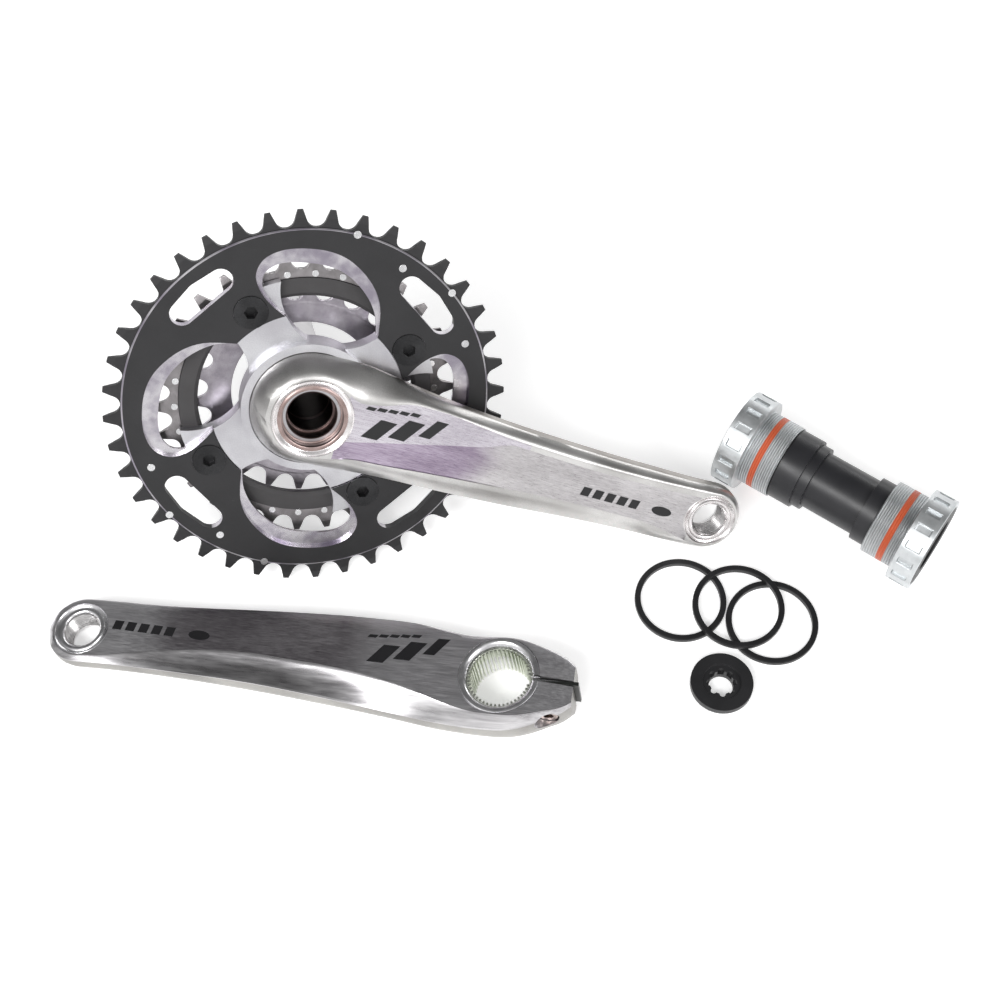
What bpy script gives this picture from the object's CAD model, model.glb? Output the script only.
"""Mountain bike crankset kit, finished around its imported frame: two forged arms with polished and
brushed facets, three chainrings, a threaded bottom bracket, spacers and a preload cap."""

import math

import bmesh
import bpy
from mathutils import Matrix, Vector


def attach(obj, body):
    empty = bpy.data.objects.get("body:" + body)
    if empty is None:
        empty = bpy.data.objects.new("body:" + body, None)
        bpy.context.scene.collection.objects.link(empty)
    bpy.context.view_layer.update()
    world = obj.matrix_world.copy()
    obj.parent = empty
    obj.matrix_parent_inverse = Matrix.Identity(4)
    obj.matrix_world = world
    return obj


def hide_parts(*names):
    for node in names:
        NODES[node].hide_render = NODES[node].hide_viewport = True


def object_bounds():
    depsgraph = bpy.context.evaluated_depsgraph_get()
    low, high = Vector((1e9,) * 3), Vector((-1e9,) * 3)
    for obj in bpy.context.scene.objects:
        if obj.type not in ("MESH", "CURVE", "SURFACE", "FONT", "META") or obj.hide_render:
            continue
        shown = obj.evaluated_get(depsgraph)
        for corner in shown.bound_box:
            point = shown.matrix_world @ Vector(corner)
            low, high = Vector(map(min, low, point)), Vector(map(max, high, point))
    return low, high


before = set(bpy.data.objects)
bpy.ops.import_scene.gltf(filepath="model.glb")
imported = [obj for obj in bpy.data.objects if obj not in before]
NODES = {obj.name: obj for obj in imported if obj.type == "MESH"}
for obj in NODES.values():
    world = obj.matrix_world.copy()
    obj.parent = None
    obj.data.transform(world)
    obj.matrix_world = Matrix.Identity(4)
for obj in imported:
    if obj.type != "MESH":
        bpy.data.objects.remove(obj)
cad_lo, cad_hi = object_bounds()
MM = 0.001


class Place:
    """A group's frame: where its origin is and how it is turned."""

    def __init__(self, origin, turns):
        self.origin = Vector(origin) * MM
        spin = Matrix.Identity(3)
        for axis, degrees in turns:
            spin = spin @ Matrix.Rotation(math.radians(degrees), 3, axis)
        self.turn = spin.to_euler("XYZ")
        self.matrix = Matrix.Translation(self.origin) @ spin.to_4x4() @ Matrix.Scale(MM, 4)


DRIVE_HEADING, DRIVE_LEAN, DRIVE_SPIN = 14.9, 30.34, -26.78
LEFT_HEADING, LEFT_TILT = 171.7, 7
BRACKET_HEADING = -35.4
DRIVE = Place((-84.61, 7.30, 72.96), (("Z", DRIVE_HEADING), ("X", 90 - DRIVE_LEAN), ("Z", DRIVE_SPIN)))
LEFT = Place((-2.01, -95.50, 2.93), (("Z", LEFT_HEADING), ("Y", LEFT_TILT)))
BRACKET = Place((144.09, -3.70, 22), (("Z", BRACKET_HEADING), ("Y", 90)))
TABLE = Place((0, 0, 0), ())
CAP = Place((90.39, -90.20, 0), ())

# ------------------------------------------------------------------ materials


class Value:
    """A number socket that takes part in Python arithmetic."""

    def __init__(self, finish, socket):
        self.finish, self.socket = finish, socket

    def math(self, operation, *others):
        values = {0: self}
        values.update({i + 1: o for i, o in enumerate(others)})
        made = self.finish.node("ShaderNodeMath", {"operation": operation}, values)
        return Value(self.finish, made.outputs[0])

    def __add__(self, other):
        return self.math("ADD", other)

    def __radd__(self, other):
        return self.math("ADD", other)

    def __sub__(self, other):
        return self.math("SUBTRACT", other)

    def __rsub__(self, other):
        return (self * -1) + other

    def __mul__(self, other):
        return self.math("MULTIPLY", other)

    def __rmul__(self, other):
        return self.math("MULTIPLY", other)

    def ripple(self, rate):
        """Wave between 0 and 1 that turns by rate radians a unit."""
        return (self * rate).math("SINE") * 0.5 + 0.5


class Finish:
    """A procedural material being put together round one Principled shader."""

    def __init__(self, name, place, **constants):
        self.material = bpy.data.materials.new(name)
        self.material.use_nodes = True
        self.tree = self.material.node_tree
        self.tree.nodes.clear()
        self.place = place
        named = {key.replace("_", " "): value for key, value in constants.items()}
        self.shader = self.node("ShaderNodeBsdfPrincipled", {}, named)
        self.node("ShaderNodeOutputMaterial", {}, {"Surface": self.shader.outputs[0]})
        self.coords = self.node("ShaderNodeTexCoord").outputs["Object"]

    def node(self, kind, settings=None, inputs=None):
        made = self.tree.nodes.new(kind)
        for key, value in (settings or {}).items():
            setattr(made, key, value)
        for key, value in (inputs or {}).items():
            self.put(made.inputs[key], value)
        return made

    def put(self, socket, value):
        if isinstance(value, Value):
            value = value.socket
        if isinstance(value, bpy.types.NodeSocket):
            self.tree.links.new(value, socket)
        elif socket.type == "RGBA" and len(value) == 3:
            socket.default_value = (*value, 1)
        else:
            socket.default_value = value

    def where(self, size=(1, 1, 1)):
        """Point in the group's own frame, measured in units of size millimetres."""
        return self.node("ShaderNodeMapping", {"vector_type": "TEXTURE"}, {
            "Vector": self.coords, "Location": self.place.origin, "Rotation": self.place.turn,
            "Scale": [MM * s for s in size]}).outputs[0]

    def axes(self):
        parts = self.node("ShaderNodeSeparateXYZ", {}, {0: self.where()})
        return [Value(self, o) for o in parts.outputs]

    def radius_and_height(self):
        """Distance from the group's z axis, and height along it."""
        x, y, z = self.axes()
        return (x * x + y * y).math("SQRT"), z

    def noise(self, size, detail=3, rough=0.55, distortion=0.0):
        made = self.node("ShaderNodeTexNoise", {}, {
            "Vector": self.where(size), "Scale": 1.0, "Detail": detail, "Roughness": rough,
            "Distortion": distortion})
        return Value(self, made.outputs[0])

    def step(self, value, low, high):
        """Smooth rise from 0 at low to 1 at high."""
        made = self.node("ShaderNodeMapRange", {"interpolation_type": "SMOOTHSTEP"}, {
            "Value": value, "From Min": low, "From Max": high})
        return Value(self, made.outputs[0])

    def band(self, value, low, high, soft):
        return self.step(value, low - soft, low) * (1 - self.step(value, high, high + soft))

    def mix(self, factor, first, second):
        made = self.node("ShaderNodeMix", {"data_type": "RGBA"}, {0: factor, 6: first, 7: second})
        return made.outputs[2]

    def bump(self, height, strength, distance):
        return self.node("ShaderNodeBump", {}, {
            "Height": height, "Strength": strength, "Distance": distance * MM}).outputs[0]

    def colour(self, value):
        self.put(self.shader.inputs["Base Color"], value)

    def rough(self, value):
        self.put(self.shader.inputs["Roughness"], value)

    def normal(self, value):
        self.put(self.shader.inputs["Normal"], value)


def brushed(name, place, dark, light, rough, grain=(30, 0.5, 0.5), deep=0.35, far=None, zone=None):
    """Metal brushed along one direction: long fine streaks with a slow drift of tone.

    far is a second pair of colours, used where x lies in zone (low, high, blend).
    """
    f = Finish(name, place, Metallic=1.0)
    streak = f.noise(grain, 4, 0.65)
    fine = f.noise([g * 0.35 for g in grain], 2, 0.6)
    drift = f.noise((45, 14, 14), 2, 0.5)
    tone = f.step(streak * 0.45 + fine * 0.2 + drift * 0.35, 0.36, 0.64)
    colour = f.mix(tone, dark, light)
    if far:
        colour = f.mix(f.band(f.axes()[0] + (drift - 0.5) * 30, *zone), colour, f.mix(tone, *far))
    f.colour(colour)
    f.rough(f.step(streak, 0.2, 0.9) * 0.18 + rough)
    f.normal(f.bump(streak * 0.6 + fine * 0.4, deep, 0.06))
    return f


def satin(name, place, dark, light, rough, metal=1.0, size=0.5, deep=0.25):
    """Fine blasted and anodised metal, with faint handling marks."""
    f = Finish(name, place, Metallic=metal)
    grit = f.noise((size, size, size), 3, 0.6)
    cloud = f.noise((22, 22, 22), 3, 0.5)
    scratch = f.step(f.noise((9, 0.35, 9), 2, 0.5, 0.6), 0.66, 0.72)
    f.colour(f.mix(f.step(cloud * 0.7 + grit * 0.3, 0.35, 0.65), dark, light))
    f.rough(cloud * 0.12 + scratch * -0.06 + (rough - 0.03))
    f.normal(f.bump(grit * 0.8 + scratch * 0.2, deep, 0.05))
    return f


def turned(name, place, dark, light, rough, pitch=0.35, deep=0.3, along=False):
    """Metal turned in a lathe: fine rings about the group's z axis, or turns along it."""
    f = Finish(name, place, Metallic=1.0)
    radius, z = f.radius_and_height()
    rings = (z if along else radius).ripple(2 * math.pi / pitch)
    cloud = f.noise((6, 6, 6), 3, 0.6)
    f.colour(f.mix(f.step(rings * 0.35 + cloud * 0.65, 0.3, 0.7), dark, light))
    f.rough(cloud * 0.15 + rough)
    f.normal(f.bump(rings, deep, 0.03))
    return f


def moulded(name, place, dark, light, rough, size=0.35, deep=0.3):
    """Moulded black plastic or rubber with a fine pebble."""
    f = Finish(name, place, Metallic=0.0, Specular_IOR_Level=0.45)
    pebble = f.noise((size, size, size), 4, 0.6)
    cloud = f.noise((11, 11, 11), 2, 0.5)
    dust = f.step(f.noise((1.6, 1.6, 1.6), 4, 0.7), 0.62, 0.8)
    f.colour(f.mix(dust * 0.35 + cloud * 0.4, dark, light))
    f.rough(cloud * 0.2 + (rough - 0.1))
    f.normal(f.bump(pebble, deep, 0.06))
    return f


def anodised_ring():
    """Black anodised chainring with bright machined window ledges and a bright line at the step."""
    f = Finish("black_anodised", DRIVE, Coat_Roughness=0.3)
    radius, z = f.radius_and_height()
    rings = radius.ripple(9.0)
    cloud = f.noise((14, 14, 14), 3, 0.55)
    grit = f.noise((0.5, 0.5, 0.5), 2, 0.6)
    inner = (1 - f.step(radius, 69.2, 69.8)) * f.band(z, -1.85, 1.62, 0.05)
    line = f.band(radius, 76.25, 76.75, 0.15) * f.step(z, 1.1, 1.3)
    scuff = f.step(f.noise((7, 0.5, 7), 3, 0.6, 1.2), 0.7, 0.76) * 0.25
    black = f.mix(cloud * 0.6 + grit * 0.25, (0.011, 0.011, 0.012), (0.03, 0.029, 0.031))
    worn = f.mix(scuff, black, (0.10, 0.10, 0.11))
    silver = f.mix(f.step(cloud, 0.35, 0.65), (0.34, 0.31, 0.37), (0.66, 0.64, 0.67))
    bare = (inner + line * 0.8).math("MINIMUM", 1.0)
    f.colour(f.mix(bare, worn, silver))
    f.put(f.shader.inputs["Metallic"], bare * 0.75 + 0.25)
    f.rough(bare * -0.2 + cloud * 0.12 + 0.4)
    f.normal(f.bump(rings * 0.5 + grit * 0.5, 0.25, 0.03))
    return f


def hollow_spindle():
    """Steel spindle whose bore is darkened brown."""
    f = Finish("spindle_steel", DRIVE, Metallic=1.0)
    radius, z = f.radius_and_height()
    inside = 1 - f.step(radius, 10.6, 11.0)
    rings = z.ripple(5.0)
    arc = f.band(z, 5.0, 6.4, 0.5) + f.band(z, -7.0, -5.4, 0.6)
    cloud = f.noise((5, 5, 5), 3, 0.6)
    steel = f.mix(cloud, (0.36, 0.35, 0.36), (0.60, 0.59, 0.61))
    brown = f.mix(arc * 0.7 + rings * 0.08, (0.030, 0.018, 0.016), (0.33, 0.25, 0.24))
    f.colour(f.mix(inside, steel, brown))
    f.rough(cloud * 0.15 + 0.28)
    f.normal(f.bump(rings, 0.2, 0.02))
    return f


CUP_PITCH = 1.06
PEDAL_PITCH = 1.27


def banded_cup():
    """Zinc-silver cup with a turned thread and an orange locking band round it."""
    f = Finish("cup_zinc", BRACKET, Metallic=0.9)
    radius, z = f.radius_and_height()
    along = z.math("ABSOLUTE")
    thread_zone = (1 - f.step(along, 38.4, 38.9)) * f.step(radius, 16.6, 16.9)
    wave = z.ripple(2 * math.pi / CUP_PITCH)
    orange = f.band(along, 31.4, 34.2, 0.12) * f.step(radius, 16.6, 16.9)
    cloud = f.noise((4, 4, 4), 3, 0.6)
    grit = f.noise((0.4, 0.4, 0.4), 2, 0.6)
    zinc = f.mix(cloud * 0.75 + grit * 0.2, (0.38, 0.40, 0.41), (0.80, 0.82, 0.83))
    shade = f.mix(thread_zone * (1 - wave) * 0.55, zinc, (0.22, 0.23, 0.24))
    f.colour(f.mix(orange, shade, (0.62, 0.105, 0.035)))
    f.put(f.shader.inputs["Metallic"], 0.9 - orange * 0.8)
    f.rough(cloud * 0.18 + 0.3)
    f.normal(f.bump(thread_zone * wave * 1.0 + grit * 0.08, 0.9, 0.5))
    return f


ARM_SATIN = satin("arm_satin", DRIVE, (0.50, 0.49, 0.48), (0.70, 0.69, 0.68), 0.33)
ARM_WALL = satin("arm_wall", DRIVE, (0.26, 0.24, 0.225), (0.42, 0.40, 0.38), 0.36)
ARM_PANEL = brushed("arm_panel", DRIVE, (0.52, 0.48, 0.54), (0.74, 0.71, 0.76), 0.22)
ARM_FACET = brushed("arm_facet", DRIVE, (0.24, 0.19, 0.26), (0.50, 0.43, 0.53), 0.24,
                    far=((0.42, 0.40, 0.41), (0.66, 0.64, 0.65)), zone=(84, 400, 24))
LEFT_FLAT = brushed("left_flat", LEFT, (0.56, 0.55, 0.57), (0.82, 0.81, 0.83), 0.27,
                    far=((0.24, 0.22, 0.24), (0.44, 0.42, 0.44)), zone=(70, 132, 26))
LEFT_BEVEL = brushed("left_bevel", LEFT, (0.30, 0.29, 0.30), (0.60, 0.59, 0.60), 0.24, (60, 3, 3))
LEFT_WALL = satin("left_wall", LEFT, (0.27, 0.26, 0.25), (0.40, 0.39, 0.37), 0.4)
LEFT_EDGE = satin("left_edge", LEFT, (0.40, 0.39, 0.40), (0.60, 0.59, 0.60), 0.3)
SPIDER_SILVER = satin("spider_silver", DRIVE, (0.50, 0.49, 0.52), (0.68, 0.68, 0.70), 0.34)
RING_POLISH = turned("ring_polish", DRIVE, (0.60, 0.56, 0.56), (0.90, 0.88, 0.88), 0.16)
RING_BROWN = turned("ring_brown", DRIVE, (0.20, 0.14, 0.13), (0.46, 0.36, 0.34), 0.25)
LEFT_RING = turned("left_ring", LEFT, (0.55, 0.54, 0.56), (0.92, 0.92, 0.93), 0.16)
SPLINE_STEEL = satin("spline_steel", LEFT, (0.50, 0.54, 0.44), (0.86, 0.88, 0.80), 0.3)
THREAD_DRIVE = turned("thread_drive", DRIVE, (0.45, 0.44, 0.44), (0.85, 0.84, 0.84), 0.2, PEDAL_PITCH, 0.2,
                      along=True)
THREAD_LEFT = turned("thread_left", LEFT, (0.45, 0.44, 0.44), (0.85, 0.84, 0.84), 0.2, PEDAL_PITCH, 0.2,
                     along=True)
RING_BLACK = anodised_ring()
SPINDLE = hollow_spindle()
CUP = banded_cup()
TOOTH_STEEL = turned("tooth_steel", DRIVE, (0.16, 0.15, 0.15), (0.38, 0.36, 0.37), 0.3)
SMALL_STEEL = turned("small_ring_steel", DRIVE, (0.22, 0.20, 0.23), (0.50, 0.47, 0.51), 0.24)
PIN_STEEL = satin("pin_steel", DRIVE, (0.62, 0.62, 0.63), (0.90, 0.90, 0.91), 0.2)
COMPOSITE = moulded("carrier_composite", DRIVE, (0.028, 0.026, 0.027), (0.085, 0.082, 0.085), 0.5)
BOLT_BLACK = satin("bolt_black", DRIVE, (0.012, 0.012, 0.013), (0.04, 0.04, 0.042), 0.3, 0.6)
BOLT_STEEL = satin("bolt_steel", LEFT, (0.26, 0.20, 0.18), (0.52, 0.44, 0.40), 0.26)
PLATE_BLACK = moulded("plate_black", LEFT, (0.008, 0.009, 0.008), (0.03, 0.032, 0.03), 0.35)
MARK_BLACK = moulded("mark_black", DRIVE, (0.006, 0.006, 0.007), (0.016, 0.015, 0.017), 0.4)
MARK_LEFT = moulded("mark_black_left", LEFT, (0.006, 0.006, 0.007), (0.016, 0.015, 0.017), 0.4)
RACE_STEEL = turned("race_steel", BRACKET, (0.45, 0.45, 0.46), (0.75, 0.75, 0.76), 0.2)
SEAL_BLACK = moulded("seal_black", BRACKET, (0.010, 0.010, 0.011), (0.03, 0.03, 0.032), 0.5)
CAGE_GREY = moulded("cage_grey", BRACKET, (0.10, 0.10, 0.10), (0.18, 0.18, 0.18), 0.5)
SLEEVE_BLACK = moulded("sleeve_black", BRACKET, (0.010, 0.010, 0.012), (0.035, 0.035, 0.04), 0.38)
SPACER_BLACK = moulded("spacer_black", TABLE, (0.008, 0.008, 0.009), (0.026, 0.026, 0.028), 0.42)
CAP_BLACK = moulded("cap_black", CAP, (0.009, 0.009, 0.010), (0.03, 0.03, 0.032), 0.42)

CARRIED = {
    "spider": (SPIDER_SILVER, 0.5), "spindle": (SPINDLE, 0.15), "big_ring": (RING_BLACK, 0.22),
    "shift_pins": (PIN_STEEL, 0.25), "chain_drop_pin": (PIN_STEEL, 0.3),
    "middle_ring_teeth": (TOOTH_STEEL, 0.15), "middle_ring_carrier": (COMPOSITE, 0.3),
    "middle_ring_rivets": (PIN_STEEL, 0.2), "small_ring": (SMALL_STEEL, 0.15),
    "chainring_bolts": (BOLT_BLACK, 0.3), "chainring_nuts": (BOLT_BLACK, 0.3),
    "small_ring_bolts": (PIN_STEEL, 0.4), "stopper_plate": (PLATE_BLACK, 0.2),
    "front_pinch_bolt": (BOLT_STEEL, 0.3), "front_pinch_washer": (BOLT_STEEL, 0.15),
    "rear_pinch_bolt": (BOLT_STEEL, 0.3), "rear_pinch_washer": (BOLT_STEEL, 0.15),
    "inner_sleeve": (SLEEVE_BLACK, 0.3), "sleeve_o_rings": (SEAL_BLACK, 0.3),
    "spacer_1": (SPACER_BLACK, 0.25), "spacer_2": (SPACER_BLACK, 0.25),
    "spacer_3": (SPACER_BLACK, 0.25), "preload_cap": (CAP_BLACK, 0.3),
}
for side in ("right", "left"):
    CARRIED.update({
        f"{side}_cup": (CUP, 0.3), f"{side}_outer_race": (RACE_STEEL, 0.2),
        f"{side}_seal": (SEAL_BLACK, 0.15), f"{side}_balls": (RACE_STEEL, 0),
        f"{side}_cage": (CAGE_GREY, 0), f"{side}_inner_race": (RACE_STEEL, 0.2),
        f"{side}_bush": (SEAL_BLACK, 0.3)})

# ------------------------------------------------------------------ mesh tools

SAME_POINT = 0.0005  # millimetres

def finish_mesh(bm, name, place, body, finishes, sharp):
    """Turn a bmesh in a group's millimetres into a piece that rides on a body.

    Edges sharper than sharp degrees keep a hard line in the shading."""
    bmesh.ops.remove_doubles(bm, verts=bm.verts, dist=SAME_POINT)
    bmesh.ops.recalc_face_normals(bm, faces=bm.faces)
    for face in bm.faces:
        face.smooth = True
    for edge in bm.edges:
        edge.smooth = edge.calc_face_angle(0) < math.radians(sharp)
    bm.transform(place.matrix)
    mesh = bpy.data.meshes.new(name)
    bm.to_mesh(mesh)
    bm.free()
    for finish in finishes:
        mesh.materials.append(finish.material)
    piece = bpy.data.objects.new(name, mesh)
    bpy.context.scene.collection.objects.link(piece)
    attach(piece, body)
    return piece


def soften(piece, width):
    """Join a node's loose triangles and round its hard edges by a width in millimetres."""
    join = piece.modifiers.new("join", "WELD")
    join.merge_threshold = 0.00001
    edge = piece.modifiers.new("edge", "BEVEL")
    edge.width = width * MM
    edge.segments = 2
    edge.limit_method = "ANGLE"
    edge.angle_limit = math.radians(34)
    edge.use_clamp_overlap = True
    even = piece.modifiers.new("even", "WEIGHTED_NORMAL")
    even.keep_sharp = True


def lathe(profile, steps=96):
    """Ring about z from a closed half section of (radius, height) points."""
    bm = bmesh.new()
    verts = [bm.verts.new((r, 0, z)) for r, z in profile]
    edges = [bm.edges.new((verts[i], verts[(i + 1) % len(verts)])) for i in range(len(verts))]
    bmesh.ops.spin(bm, geom=verts + edges, cent=(0, 0, 0), axis=(0, 0, 1), angle=2 * math.pi,
                   steps=steps, use_merge=True)
    return bm


def raised(made):
    """The new points of an extrusion."""
    return [item for item in made["geom"] if isinstance(item, bmesh.types.BMVert)]


def cut(piece, cutters):
    """Cut holes through a finished piece; each cutter is a bmesh in world metres."""
    scene = bpy.context.scene
    for n, bm in enumerate(cutters):
        mesh = bpy.data.meshes.new(f"cutter_{n}")
        bm.to_mesh(mesh)
        bm.free()
        tool = bpy.data.objects.new(f"cutter_{n}", mesh)
        scene.collection.objects.link(tool)
        hole = piece.modifiers.new("hole", "BOOLEAN")
        hole.object, hole.operation, hole.solver = tool, "DIFFERENCE", "EXACT"
        bpy.context.view_layer.update()
        evaluated = piece.evaluated_get(bpy.context.evaluated_depsgraph_get())
        done = bpy.data.meshes.new_from_object(evaluated)
        piece.modifiers.clear()
        old, piece.data = piece.data, done
        bpy.data.meshes.remove(old)
        bpy.data.objects.remove(tool)


def bar(place, radius, low, high, at=(0, 0), steps=64, sideways=False):
    """Round cutter from low to high along the group's z at (x, y), or along its y at (x, z)."""
    bm = bmesh.new()
    bmesh.ops.create_cone(bm, cap_ends=True, segments=steps, radius1=radius, radius2=radius,
                          depth=high - low)
    bmesh.ops.translate(bm, verts=bm.verts, vec=(0, 0, (low + high) / 2))
    if sideways:
        quarter = Matrix.Rotation(math.radians(-90), 3, "X")
        bmesh.ops.rotate(bm, verts=bm.verts, cent=(0, 0, 0), matrix=quarter)
        bmesh.ops.translate(bm, verts=bm.verts, vec=(at[0], 0, at[1]))
    else:
        bmesh.ops.translate(bm, verts=bm.verts, vec=(at[0], at[1], 0))
    bm.transform(place.matrix)
    return bm


def box_cutter(place, low, high):
    """Box-shaped cutter between two corners in a group's millimetres."""
    bm = bmesh.new()
    bmesh.ops.create_cube(bm, size=1)
    for v in bm.verts:
        v.co = [(a + b) / 2 + c * (b - a) for a, b, c in zip(low, high, v.co)]
    bm.transform(place.matrix)
    return bm


def through(table, x):
    """Value at x of a smooth curve through (x, value) pairs that never overshoots them."""
    if x <= table[0][0]:
        return table[0][1]
    if x >= table[-1][0]:
        return table[-1][1]
    i = max(k for k in range(len(table) - 1) if table[k][0] <= x)
    (x0, y0), (x1, y1) = table[i], table[i + 1]
    slope = (y1 - y0) / (x1 - x0)

    def lean(k):
        if k <= 0 or k >= len(table) - 1:
            return slope
        (xa, ya), (xb, yb), (xc, yc) = table[k - 1:k + 2]
        s0, s1 = (yb - ya) / (xb - xa), (yc - yb) / (xc - xb)
        return 0 if s0 * s1 <= 0 else (s0 * (xc - xb) + s1 * (xb - xa)) / (xc - xa)

    t, h = (x - x0) / (x1 - x0), x1 - x0
    a, b = lean(i) * h, lean(i + 1) * h
    return (y0 * (2 * t**3 - 3 * t**2 + 1) + a * (t**3 - 2 * t**2 + t)
            + y1 * (3 * t**2 - 2 * t**3) + b * (t**3 - t**2))


def loft(stations, section, strips):
    """Closed body from a grid whose columns follow the section's lines at each station.

    section(x) gives (y, z) round the body; strips gives each column's finish number."""
    columns = len(strips)
    bm = bmesh.new()
    bmesh.ops.create_grid(bm, x_segments=columns, y_segments=len(stations) - 1, size=1)
    order = sorted(bm.verts, key=lambda v: (round(v.co.y, 5), round(v.co.x, 5)))
    column = {v: i % (columns + 1) for i, v in enumerate(order)}
    for face in bm.faces:
        face.material_index = strips[min(column[v] for v in face.verts)]
    for row, x in enumerate(stations):
        points = section(x)
        for i in range(columns + 1):
            y, z = points[i % columns]
            order[row * (columns + 1) + i].co = (x, y, z)
    bmesh.ops.remove_doubles(bm, verts=bm.verts, dist=SAME_POINT)
    rims = [e for e in bm.edges if e.is_boundary]
    made = bmesh.ops.holes_fill(bm, edges=rims, sides=0)
    for face in made["faces"]:
        face.material_index = strips[-3]
    return bm


def round_end(tip, radius):
    """Stations of a rounded end, crowded towards its tip; a negative radius ends it at high x."""
    return [tip + radius * (1 - math.cos(math.radians(a))) for a in (6, 14, 22, 31, 40, 50, 60, 70, 80, 90)]


# ------------------------------------------------------------------ drive arm

PEDAL_X = 180.0
HUB_R = 25.0
HUB_FLAT_R = 17.8
EYE_R = 15
EYE_FLAT_R = 12.6
# Tables of (x, value) along the arm: heights of its faces, then half widths of its long lines, and
# how far the face rolls down to its edges.
DRIVE_FACE = [(-26, 16), (24, 16.2), (45, 18.6), (78, 22.6), (110, 26.6), (144, 30.6), (166, 32.9), (200, 33)]
DRIVE_BACK = [(-26, 3), (30, 3), (45, 4.2), (76, 8.2), (110, 12), (144, 16), (166, 19.4), (200, 20)]
DRIVE_UP = [(0, 25), (19, 24.4), (34, 22.2), (53, 19.7), (78, 17.6), (110, 15.9), (142, 15), (166, 15),
            (180, 15)]
DRIVE_LOW = [(0, -25), (19, -24.2), (38, -22), (64, -20.4), (90, -18.8), (118, -16.8), (144, -15.6),
             (166, -15.1), (180, -15)]
DRIVE_RIDGE = [(0, 17.8), (6, 16.8), (11, 14.4), (17.8, 11.4), (27.8, 13), (36.7, 16.2), (50, 16.8),
               (59, 16.2), (70, 14.8), (81, 13.5), (100, 12.4), (119, 11.8), (142, 11.8), (164, 12.4),
               (180, 12.6)]
DRIVE_CREASE = [(0, -2), (8, -8.6), (16.7, -7.1), (36.7, -2.4), (59, 3.1), (75.6, 7.2), (84.4, 10.6),
                (95, 10.2), (119, 9.2), (153, 9), (168, 9.6), (180, 9.8)]
DRIVE_FOOT = [(0, -17.8), (8, -16.8), (12.2, -15.9), (36.7, -13.8), (59, -11.9), (81, -10.4), (100, -9.1),
              (119, -8.3), (145, -8.2), (160, -9.6), (170, -11.4), (180, -12.6)]
DRIVE_DROP = [(-26, 10.5), (0, 10.5), (20, 10), (40, 7.2), (60, 5.4), (80, 4.6), (150, 4.2), (180, 3.2),
              (196, 3.2)]


def rounded(table, x, hub_r, end_r, sign):
    """Half width at x of a line that closes in an arc at the hub and at the pedal."""
    if x < 0:
        return sign * math.sqrt(max(hub_r**2 - x**2, 0))
    if x > PEDAL_X:
        return sign * math.sqrt(max(end_r**2 - (x - PEDAL_X) ** 2, 0))
    return through(table, x)


def drive_lines(x):
    """Half widths at x: top edge, ridge, crease, foot and lower edge."""
    up, low = rounded(DRIVE_UP, x, HUB_R, EYE_R, 1), rounded(DRIVE_LOW, x, HUB_R, EYE_R, -1)
    ridge = max(rounded(DRIVE_RIDGE, x, HUB_FLAT_R, EYE_FLAT_R, 1), 0.3 * up)
    foot = min(rounded(DRIVE_FOOT, x, HUB_FLAT_R, EYE_FLAT_R, -1), 0.3 * low)
    crease = foot + 0.55 * (ridge - foot) if x < 3 or x > 184 else through(DRIVE_CREASE, x)
    crease = max(min(crease, ridge - 0.6), foot + 0.6) if ridge - foot > 1.4 else (ridge + foot) / 2
    return up, ridge, crease, foot, low


def drive_height(x, y):
    """Height of the arm's outer face: flat panels between ridge and foot, rolled off to the edges."""
    up, ridge, crease, foot, low = drive_lines(x)
    face, drop = through(DRIVE_FACE, x), through(DRIVE_DROP, x)
    if x < 0:
        t = (math.hypot(x, y) - HUB_FLAT_R) / (HUB_R - HUB_FLAT_R)
    elif x > PEDAL_X:
        t = (math.hypot(x - PEDAL_X, y) - EYE_FLAT_R) / (EYE_R - EYE_FLAT_R)
    elif y > ridge:
        t = (y - ridge) / max(up - ridge, 0.01)
    elif y < foot:
        t = (foot - y) / max(foot - low, 0.01)
    else:
        t = 0
    t = min(max(t, 0), 1)
    sunk = math.sin(min(max((x - 14) / 10, 0), 1) * math.pi / 2)
    sunk *= 1 if x < 160 else max(0, (172 - x) / 12)
    if foot <= y <= crease:
        # the facet leans down to its foot; past the crease's end it is a shallow panel
        lean = 1.7 if x < 80 else 1.7 - min((x - 80) / 25, 1) * 1.0
        return face - drop * t**1.7 - sunk * (lean * (crease - y) / max(crease - foot, 0.1) + 0.25)
    if y < foot:
        return face - drop * t**1.5 - sunk * 1.6 * (1 - t)
    if y <= ridge:
        return face - drop * t**1.7 - sunk * 0.25 * (ridge - y) / max(ridge - crease, 0.1)
    return face - drop * t**1.7


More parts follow.
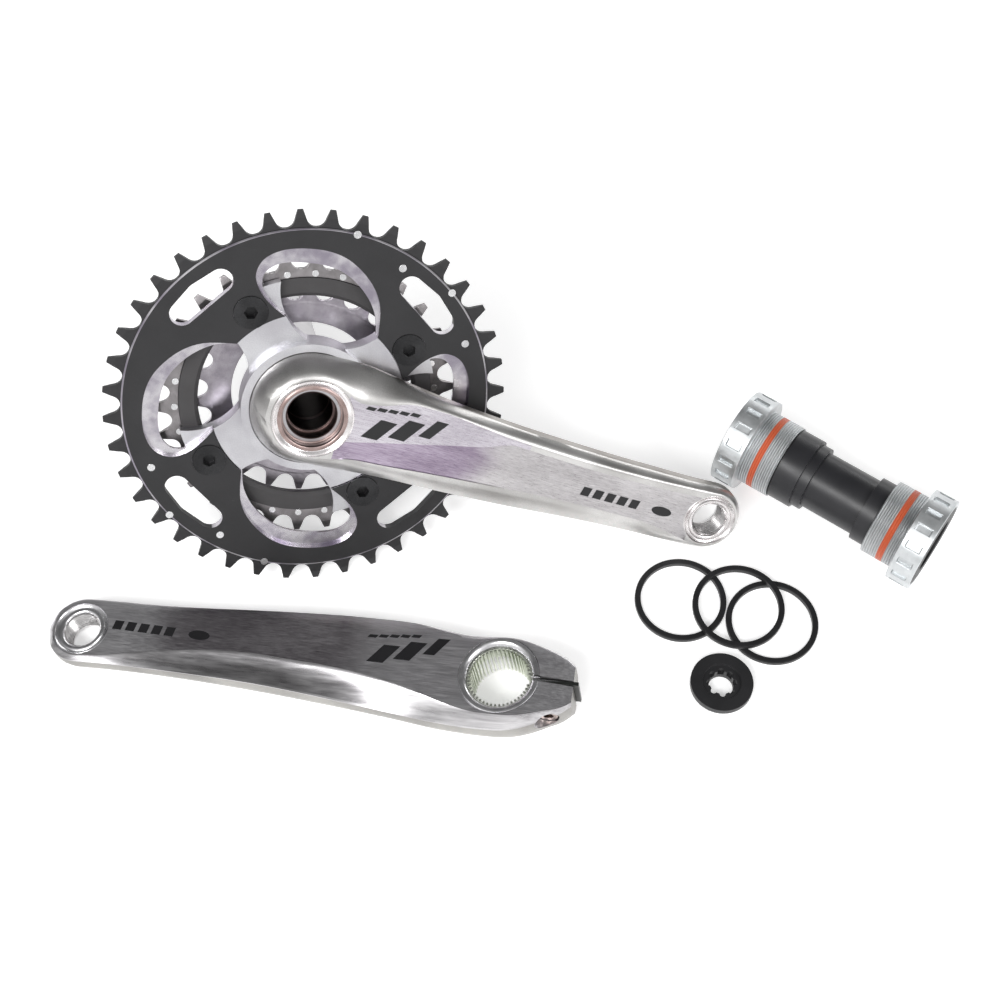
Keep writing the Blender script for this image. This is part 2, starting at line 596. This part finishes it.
def drive_section(x):
    """Points (y, z) round the drive arm at x, from the top edge over the face and back underneath."""
    up, ridge, crease, foot, low = drive_lines(x)
    back = through(DRIVE_BACK, x)

    def spread(a, b, parts):
        return [a + (b - a) * (i + 1) / parts for i in range(parts)]

    ys = [up] + spread(up, ridge, 6) + spread(ridge, crease + 0.12, 3) + [crease - 0.12]
    ys += spread(crease - 0.12, foot + 0.1, 3) + [foot - 0.1] + spread(foot - 0.1, low, 5)
    top = [(y, drive_height(x, y)) for y in ys]
    rim_u, rim_l = top[0][1], top[-1][1]
    slim = 1.0 if x < 15 else 1.0 + min((x - 15) / 40, 1) * 2.6
    narrow_u = up * max(1 - slim / max(up, 4), 0.5)
    narrow_l = low * max(1 - slim / max(-low, 4), 0.5)
    mid = back + (rim_l - back) * 0.45
    mid_u = back + (rim_u - back) * 0.45
    under = [(low * 1.004, rim_l - (rim_l - mid) * 0.35), (low * 0.995, mid), (narrow_l * 0.985, back + 0.7),
             (narrow_l * 0.94, back), (narrow_l * 0.3, back), (narrow_u * 0.3, back), (narrow_u * 0.94, back),
             (narrow_u * 0.985, back + 0.7), (up * 0.995, mid_u),
             (up * 1.004, rim_u - (rim_u - mid_u) * 0.35)]
    return top + under


def make_drive_arm():
    middle = [2.5, 5, 7.5, 10, 12.5, 15, 17.8, 20.5, 24, 28, 32, 36.7, 41, 45, 50, 55, 59, 63, 67, 71, 75.6,
              80, 84.4, 88, 92, 96, *range(100, 145, 5), 144, *range(148, 180, 4)]
    stations = sorted(set(round_end(-HUB_R, HUB_R) + middle + round_end(PEDAL_X + EYE_R, -EYE_R)))
    SATIN, PANEL, FACET, WALL = 0, 1, 2, 3
    strips = [SATIN] * 6 + [PANEL] * 3 + [FACET] * 5 + [SATIN] * 6 + [WALL] * 10
    bm = loft(stations, drive_section, strips)
    for face in bm.faces:
        x, y = face.calc_center_median().to_2d()
        if face.material_index in (PANEL, FACET) and (x < 13.5 or x > 171):
            face.material_index = SATIN
        elif face.material_index == PANEL and x > 90:
            face.material_index = SATIN
    arm = finish_mesh(bm, "drive_arm_body", DRIVE, "drive_side",
                      [ARM_SATIN, ARM_PANEL, ARM_FACET, ARM_WALL], 28)
    pedal = (PEDAL_X, 0)
    cut(arm, [bar(DRIVE, 17.2, 14.6, 22), bar(DRIVE, 14.0, -2, 15),
              bar(DRIVE, 11.9, 31.9, 36, pedal), bar(DRIVE, 8.4, 10, 33, pedal)])
    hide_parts("drive_arm")
    hub = lathe([(12.06, -8.4), (12.6, -8.5), (16.6, -8.5), (17, -8.1), (17, 4), (14.2, 4), (14.2, 14.4),
                 (17.1, 14.7), (17.4, 15.7), (17.1, 16.5), (16.5, 16.75), (15.9, 16.55), (15.3, 15.9),
                 (14.7, 15.6), (14.3, 15.7), (14.0, 15.9), (13.4, 15.9), (12.9, 15.6), (12.7, 15.0),
                 (12.7, 12.2), (12.06, 12.0)], 128)
    for face in hub.faces:
        centre = face.calc_center_median()
        if 12 < centre.to_2d().length < 14.85 and centre.z > 11:
            face.material_index = 1
    finish_mesh(hub, "drive_hub_sleeve", DRIVE, "drive_side", [RING_POLISH, RING_BROWN], 40)
    pedal_eye("drive_pedal_eye", DRIVE, "drive_side", 33.0, 19.8, [RING_POLISH, THREAD_DRIVE])


def pedal_eye(name, place, body, face, back, finishes):
    """Threaded eye in the end of an arm: a sunk ring, a raised collar and the thread's turns."""
    profile = [(8.6, back), (8.6, face - 1.4), (11.95, face - 1.4), (12.2, face - 0.2), (11.7, face + 0.1),
               (11.2, face - 0.5), (10.2, face - 0.8), (9.8, face - 0.6), (9.5, face - 0.1), (8.9, face),
               (8.3, face - 0.2), (7.75, face - 0.9)]
    top = face - 1.1
    for i in range(int((face - back - 2.2) / PEDAL_PITCH)):
        profile += [(7.72, top - i * PEDAL_PITCH), (7.2, top - (i + 0.45) * PEDAL_PITCH),
                    (7.2, top - (i + 0.6) * PEDAL_PITCH)]
    profile += [(7.7, back + 0.4), (8.0, back)]
    bm = lathe(profile, 72)
    for wall in bm.faces:
        if wall.calc_center_median().to_2d().length < 7.74:
            wall.material_index = 1
    bmesh.ops.translate(bm, verts=bm.verts, vec=(PEDAL_X, 0, 0))
    finish_mesh(bm, name, place, body, finishes, 40)


# ------------------------------------------------------------------ left arm

LEFT_EYE_R = 14.8
SLIT_HALF = 1.25
# Tables of (x, value): heights of the flat face and the underside, half widths of the far edge, the
# near edge and the crease, then how far the bevel drops and how wide the far rim is.
LEFT_FACE = [(-34, 17.6), (-26, 19.6), (-19, 21), (18, 21.1), (45, 22.5), (77, 25), (107, 28), (144, 31.4),
             (166, 33.9), (200, 34)]
LEFT_UNDER = [(-34, 0), (24, 0), (45, 2.8), (70, 6.3), (103, 10.6), (134, 15.6), (168, 20.4), (200, 21)]
LEFT_FAR = [(-31, -8.8), (-28, -11), (-23, -13.2), (-14, -15.8), (-7, -17.6), (2, -18.2), (13, -17.8),
            (24, -19.2), (38, -21.2), (60, -21.4), (90, -20), (108, -18.6), (136, -16.4), (163, -15),
            (180, -14.8)]
LEFT_NEAR = [(-31, 8.8), (-27, 12.6), (-22, 15.2), (-15, 18.6), (-8, 20.8), (0, 21.8), (10, 21.6),
             (22, 20.8), (45, 18.6), (72, 16.8), (108, 14.9), (144, 14.3), (165, 14.6), (180, 14.8)]
LEFT_CREASE = [(-31, 8.2), (-29, 10), (-20, 14), (-9, 17.4), (4, 17.6), (15.6, 15.8), (27, 12.6), (38, 9.4),
               (49, 7), (60, 5), (71, 3.8), (90, 2.9), (102, 2.4), (124, 3.2), (150, 7.5), (168, 11.3),
               (180, 12.4)]
LEFT_DROP = [(-31, 2.2), (-20, 4), (-10, 6.2), (0, 6.8), (38, 6.8), (54, 5.4), (71, 3.4), (90, 1.9),
             (124, 1.4), (180, 1.3)]
LEFT_SHELF = [(-31, 1.5), (0, 1.6), (13, 2.4), (24, 2.2), (40, 1.2), (180, 1.2)]


def left_line(table, x, end_r, sign):
    """Half width at x of a line that closes in an arc at the pedal only."""
    return rounded(table, x, 0, end_r, sign) if x > PEDAL_X else through(table, x)


def left_section(x):
    """Points (y, z) round the left arm at x, from the near edge over the face and back underneath."""
    near = left_line(LEFT_NEAR, x, LEFT_EYE_R, 1)
    far = left_line(LEFT_FAR, x, LEFT_EYE_R, -1)
    crease = min(left_line(LEFT_CREASE, x, 12.4, 1), near * 0.94)
    crease = max(crease, 0.25 * near) if x > PEDAL_X else crease
    far_edge = far + min(through(LEFT_SHELF, x), -far * 0.4)
    face, base, drop = through(LEFT_FACE, x), through(LEFT_UNDER, x), through(LEFT_DROP, x)
    face -= min(max((x - 192.4) / 2.4, 0), 1) * 1.4
    scoop = 1.3 * math.sin(math.pi * min(max((x - 20) / 130, 0), 1))

    def bevel(t):
        return face - drop * (t**1.25) - scoop * math.sin(math.pi * t) * (1 - t * 0.6)

    across = near - crease
    shares = (1, 0.94, 0.86, 0.76, 0.64, 0.5, 0.36, 0.22, 0.1, 0.0)
    top = [(crease + across * t, bevel(t)) for t in shares]
    top += [(crease - 0.2, face), (crease * 0.6 + far_edge * 0.4, face),
            (crease * 0.2 + far_edge * 0.8, face), (far_edge, face - 0.05),
            (far_edge * 0.5 + far * 0.5, face - 0.35), (far, face - 1.5)]
    rim = top[0][1]
    depth = rim - base
    trim = 1 if x < PEDAL_X else max(near / LEFT_EYE_R, 0.05)
    in1, in2, in3 = 1.2 * trim, 3.4 * trim, 5.6 * trim
    under = [(far * 1.004, face - 4), (far * 0.99, base + depth * 0.4), (far + in2 * 0.7, base + 1.4),
             (far + in3, base), (far * 0.25, base), (near * 0.25, base), (near - in3, base),
             (near - in2, base + 1.2), (near - in1, base + depth * 0.3), (near + 0.05, base + depth * 0.62),
             (near + 0.12, rim - 1.2), (near + 0.06, rim - 0.35)]
    return top + under


def make_left_arm():
    stations = [-31, -30.4, -29.2, -27.5, -25, -22, -19, -16, -13, -10, -7, -3.5, 0, 3.5, 7, 10.5, 14,
                *range(18, 42, 4), 43, 49, 54, 60, 65, 71, 77, 83, 90, *range(96, 162, 6),
                161, 165, 168, 171, 174, 177] + round_end(PEDAL_X + LEFT_EYE_R, -LEFT_EYE_R)
    FLAT, BEVEL, WALL, EDGE = 0, 1, 2, 3
    strips = [EDGE] + [BEVEL] * 8 + [EDGE] + [FLAT] * 4 + [EDGE] * 2 + [WALL] * 11 + [EDGE]
    bm = loft(sorted(stations), left_section, strips)
    arm = finish_mesh(bm, "left_arm_body", LEFT, "left_side",
                      [LEFT_FLAT, LEFT_BEVEL, LEFT_WALL, LEFT_EDGE], 30)
    front, rear, pedal = (-21.5, 13.6), (-21.5, 4.9), (PEDAL_X, 0)
    cut(arm, [bar(LEFT, 13.35, -2, 30), bar(LEFT, 17.2, 19.6, 30),
              box_cutter(LEFT, (-40, -1.2, -2), (-12, 1.2, 30)),
              bar(LEFT, 4.9, 7.6, 30, front, sideways=True), bar(LEFT, 4.9, -30, -7.6, rear, sideways=True),
              bar(LEFT, 3.2, -12, 9, front, 32, sideways=True),
              bar(LEFT, 3.2, -9, 12, rear, 32, sideways=True),
              bar(LEFT, 11.9, 32.6, 40, pedal), bar(LEFT, 8.4, 10, 34, pedal)])
    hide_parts("left_arm")
    ring = lathe([(13.3, 0.2), (13.3, 19.4), (17.15, 19.7), (17.25, 21.2), (16.8, 21.85), (16.1, 22.0),
                  (15.3, 21.95), (14.6, 21.6), (14.0, 20.9), (13.0, 19.6), (12.95, 0.2)], 128)
    open_slit(ring, SLIT_HALF)
    finish_mesh(ring, "left_bore_ring", LEFT, "left_side", [LEFT_RING], 40)
    splines = bore_splines(46, 12.98, 12.12, 13.2, 0.6, 19.2)
    open_slit(splines, SLIT_HALF)
    finish_mesh(splines, "left_bore_splines", LEFT, "left_side", [SPLINE_STEEL], 25)
    pedal_eye("left_pedal_eye", LEFT, "left_side", 34.0, 20.9, [LEFT_RING, THREAD_LEFT])


def bore_splines(count, root_r, tip_r, outer_r, low, high):
    """Thin sleeve whose inside carries count splines."""
    bm = bmesh.new()
    points = []
    for i in range(count):
        for share, radius in ((0.0, root_r), (0.28, root_r), (0.4, tip_r), (0.75, tip_r), (0.9, root_r)):
            angle = 2 * math.pi * (i + share) / count
            points.append((radius * math.cos(angle), radius * math.sin(angle)))
    inner = [bm.verts.new((x, y, low)) for x, y in points]
    edges = [bm.edges.new((inner[i], inner[(i + 1) % len(inner)])) for i in range(len(inner))]
    made = bmesh.ops.extrude_edge_only(bm, edges=edges)
    bmesh.ops.translate(bm, verts=raised(made), vec=(0, 0, high - low))
    for z in (high, low):
        bmesh.ops.create_circle(bm, segments=len(points), radius=outer_r,
                                matrix=Matrix.Translation((0, 0, z)))

    def loop(z, inside):
        return [e for e in bm.edges
                if all(abs(v.co.z - z) < 1e-4 and (v.co.to_2d().length < root_r + 0.12) == inside
                       for v in e.verts)]

    for z in (high, low):
        bmesh.ops.bridge_loops(bm, edges=loop(z, True) + loop(z, False))
    bmesh.ops.bridge_loops(bm, edges=loop(high, False) + loop(low, False))
    return bm


def open_slit(bm, half):
    """Open a ring on its -x side, where the clamp's slit meets the bore."""
    for sign in (1, -1):
        geom = list(bm.verts) + list(bm.edges) + list(bm.faces)
        bmesh.ops.bisect_plane(bm, geom=geom, plane_co=(0, sign * half, 0), plane_no=(0, 1, 0))
    gone = []
    for face in bm.faces:
        centre = face.calc_center_median()
        if centre.x < 0 and abs(centre.y) < half - 0.01:
            gone.append(face)
    bmesh.ops.delete(bm, geom=gone, context="FACES")
    rims = [e for e in bm.edges if e.is_boundary]
    bmesh.ops.holes_fill(bm, edges=rims, sides=0)


# ------------------------------------------------------------------ marks on the arms


def mark(name, place, body, shapes, height, finish):
    """Thin inlaid shapes on an arm's face, cut into short lengths so that they follow its height."""
    bm = bmesh.new()
    for shape in shapes:
        corners = [bm.verts.new((x, y, 0)) for x, y in shape]
        bm.faces.new(corners)
    low, high = min(v.co.x for v in bm.verts), max(v.co.x for v in bm.verts)
    length, lift, thick = 2, 0.03, 0.09
    x = low + length
    while x < high:
        geom = list(bm.verts) + list(bm.edges) + list(bm.faces)
        bmesh.ops.bisect_plane(bm, geom=geom, plane_co=(x, 0, 0), plane_no=(1, 0, 0))
        x += length
    bmesh.ops.triangulate(bm, faces=[f for f in bm.faces if len(f.verts) > 4])
    for v in bm.verts:
        v.co.z = height(v.co.x, v.co.y) + lift
    bmesh.ops.recalc_face_normals(bm, faces=bm.faces)
    made = bmesh.ops.extrude_face_region(bm, geom=list(bm.faces))
    bmesh.ops.translate(bm, verts=raised(made), vec=(0, 0, thick))
    finish_mesh(bm, name, place, body, [finish], 40)


def slanted(x0, x1, y0, y1, lean):
    """Bar whose far side is moved along x by lean."""
    return [(x0, y0), (x1, y0), (x1 + lean, y1), (x0 + lean, y1)]


def dot(x, y, rx, ry, count=20):
    turns = [2 * math.pi * i / count for i in range(count)]
    return [(x + rx * math.cos(turn), y + ry * math.sin(turn)) for turn in turns]


def turned_about(shapes, x, y):
    """Shapes turned by half a turn about a point."""
    return [[(2 * x - a, 2 * y - b) for a, b in shape] for shape in shapes]


def left_height(x, y):
    """Height of the left arm's flat face, which is level across."""
    return through(LEFT_FACE, x)


SLASHES = [slanted(21.5, 28.5, -3.0, 6.4, 6.2), slanted(32.5, 39.5, -0.4, 9.4, 6.4),
           slanted(44.5, 49.5, 3.6, 12.4, 5.8)]
SLASHES += [slanted(20 + 4.6 * i, 23.6 + 4.6 * i, 9.4 + 0.55 * i, 11 + 0.55 * i, 1) for i in range(5)]
DASHES = [slanted(119.5 + 5.6 * i, 123.3 + 5.6 * i, -3.4, 0.8, 0.7) for i in range(5)]
DASHES.append(dot(157, -1.3, 4.6, 2.2))
LOW_SLASHES = [[(x, y * 0.9) for x, y in shape] for shape in SLASHES]

make_drive_arm()
make_left_arm()
mark("drive_arm_slashes", DRIVE, "drive_side", SLASHES, drive_height, MARK_BLACK)
mark("drive_arm_dashes", DRIVE, "drive_side", DASHES, drive_height, MARK_BLACK)
mark("left_arm_slashes", LEFT, "left_side", turned_about(LOW_SLASHES, 39, -1.6), left_height, MARK_LEFT)
mark("left_arm_dashes", LEFT, "left_side", turned_about(DASHES, 143, -2.2), left_height, MARK_LEFT)

for name, (finish, width) in CARRIED.items():
    node = NODES[name]
    node.data.materials.clear()
    node.data.materials.append(finish.material)
    if width:
        soften(node, width)

# ------------------------------------------------------------------ floor, light and camera

floor_bm = bmesh.new()
bmesh.ops.create_grid(floor_bm, x_segments=8, y_segments=8, size=3)
floor_mesh = bpy.data.meshes.new("floor")
floor_bm.to_mesh(floor_mesh)
floor_bm.free()
floor = bpy.data.objects.new("floor", floor_mesh)
floor.location.z = cad_lo.z - 0.0002
bpy.context.scene.collection.objects.link(floor)
paper = Finish("white_paper", TABLE, Roughness=0.9, Emission_Strength=0.4, Specular_IOR_Level=0.1)
paper.colour(paper.mix(paper.noise((300, 300, 300)), (0.90, 0.90, 0.90), (0.93, 0.93, 0.93)))
paper.put(paper.shader.inputs["Emission Color"], (1, 1, 1))
floor_mesh.materials.append(paper.material)


def area_light(name, spot, size, power):
    lamp = bpy.data.lights.new(name, "AREA")
    lamp.shape, lamp.size, lamp.size_y = "RECTANGLE", size[0], size[1]
    lamp.energy = power
    light = bpy.data.objects.new(name, lamp)
    light.location = spot
    light.rotation_euler = (-Vector(spot)).to_track_quat("-Z", "Y").to_euler()
    bpy.context.scene.collection.objects.link(light)


area_light("key", (-0.5, -0.8, 1.1), (0.8, 0.35), 12)
area_light("fill", (0.9, -0.6, 0.9), (0.6, 0.4), 5)
area_light("rim", (0.3, 1.0, 0.35), (1.2, 0.15), 3)



def studio_walls(stops):
    """Grey surroundings whose level follows stops of (place, level) from the front to the back."""
    world = bpy.data.worlds.new("studio")
    bpy.context.scene.world = world
    world.use_nodes = True
    tree = world.node_tree
    tree.nodes.clear()
    out = tree.nodes.new("ShaderNodeOutputWorld")
    walls = tree.nodes.new("ShaderNodeBackground")
    ramp = tree.nodes.new("ShaderNodeValToRGB")
    split = tree.nodes.new("ShaderNodeSeparateXYZ")
    coords = tree.nodes.new("ShaderNodeTexCoord")
    remap = tree.nodes.new("ShaderNodeMapRange")
    remap.inputs["From Min"].default_value = -1
    elements = ramp.color_ramp.elements
    while len(elements) < len(stops):
        elements.new(0.5)
    for element, (at, level) in zip(elements, stops):
        element.position, element.color = at, (level, level, level, 1)
    for socket, target in ((coords.outputs["Generated"], split.inputs[0]),
                           (split.outputs["Y"], remap.inputs["Value"]), (remap.outputs[0], ramp.inputs[0]),
                           (ramp.outputs[0], walls.inputs[0]), (walls.outputs[0], out.inputs[0])):
        tree.links.new(socket, target)


# the front is bright with one darker strip; the back is a dark screen
studio_walls([(0.0, 0.95), (0.1, 0.75), (0.2, 0.95), (0.38, 0.5), (0.5, 0.34), (0.68, 0.12), (0.86, 0.2),
              (1.0, 0.5)])

lens = bpy.data.cameras.new("camera")
lens.lens, lens.sensor_width = 56.23, 36
lens.clip_start, lens.clip_end = 0.01, 20
camera = bpy.data.objects.new("camera", lens)
aim = Vector((-4.01, 3.70, 0)) * MM
elevation = math.radians(59.13)
away = 717.8 * MM
camera.location = aim + Vector((0, -math.cos(elevation), math.sin(elevation))) * away
camera.rotation_euler = (aim - camera.location).to_track_quat("-Z", "Y").to_euler()
bpy.context.scene.collection.objects.link(camera)
bpy.context.scene.camera = camera
bpy.context.scene.view_settings.view_transform = "Standard"
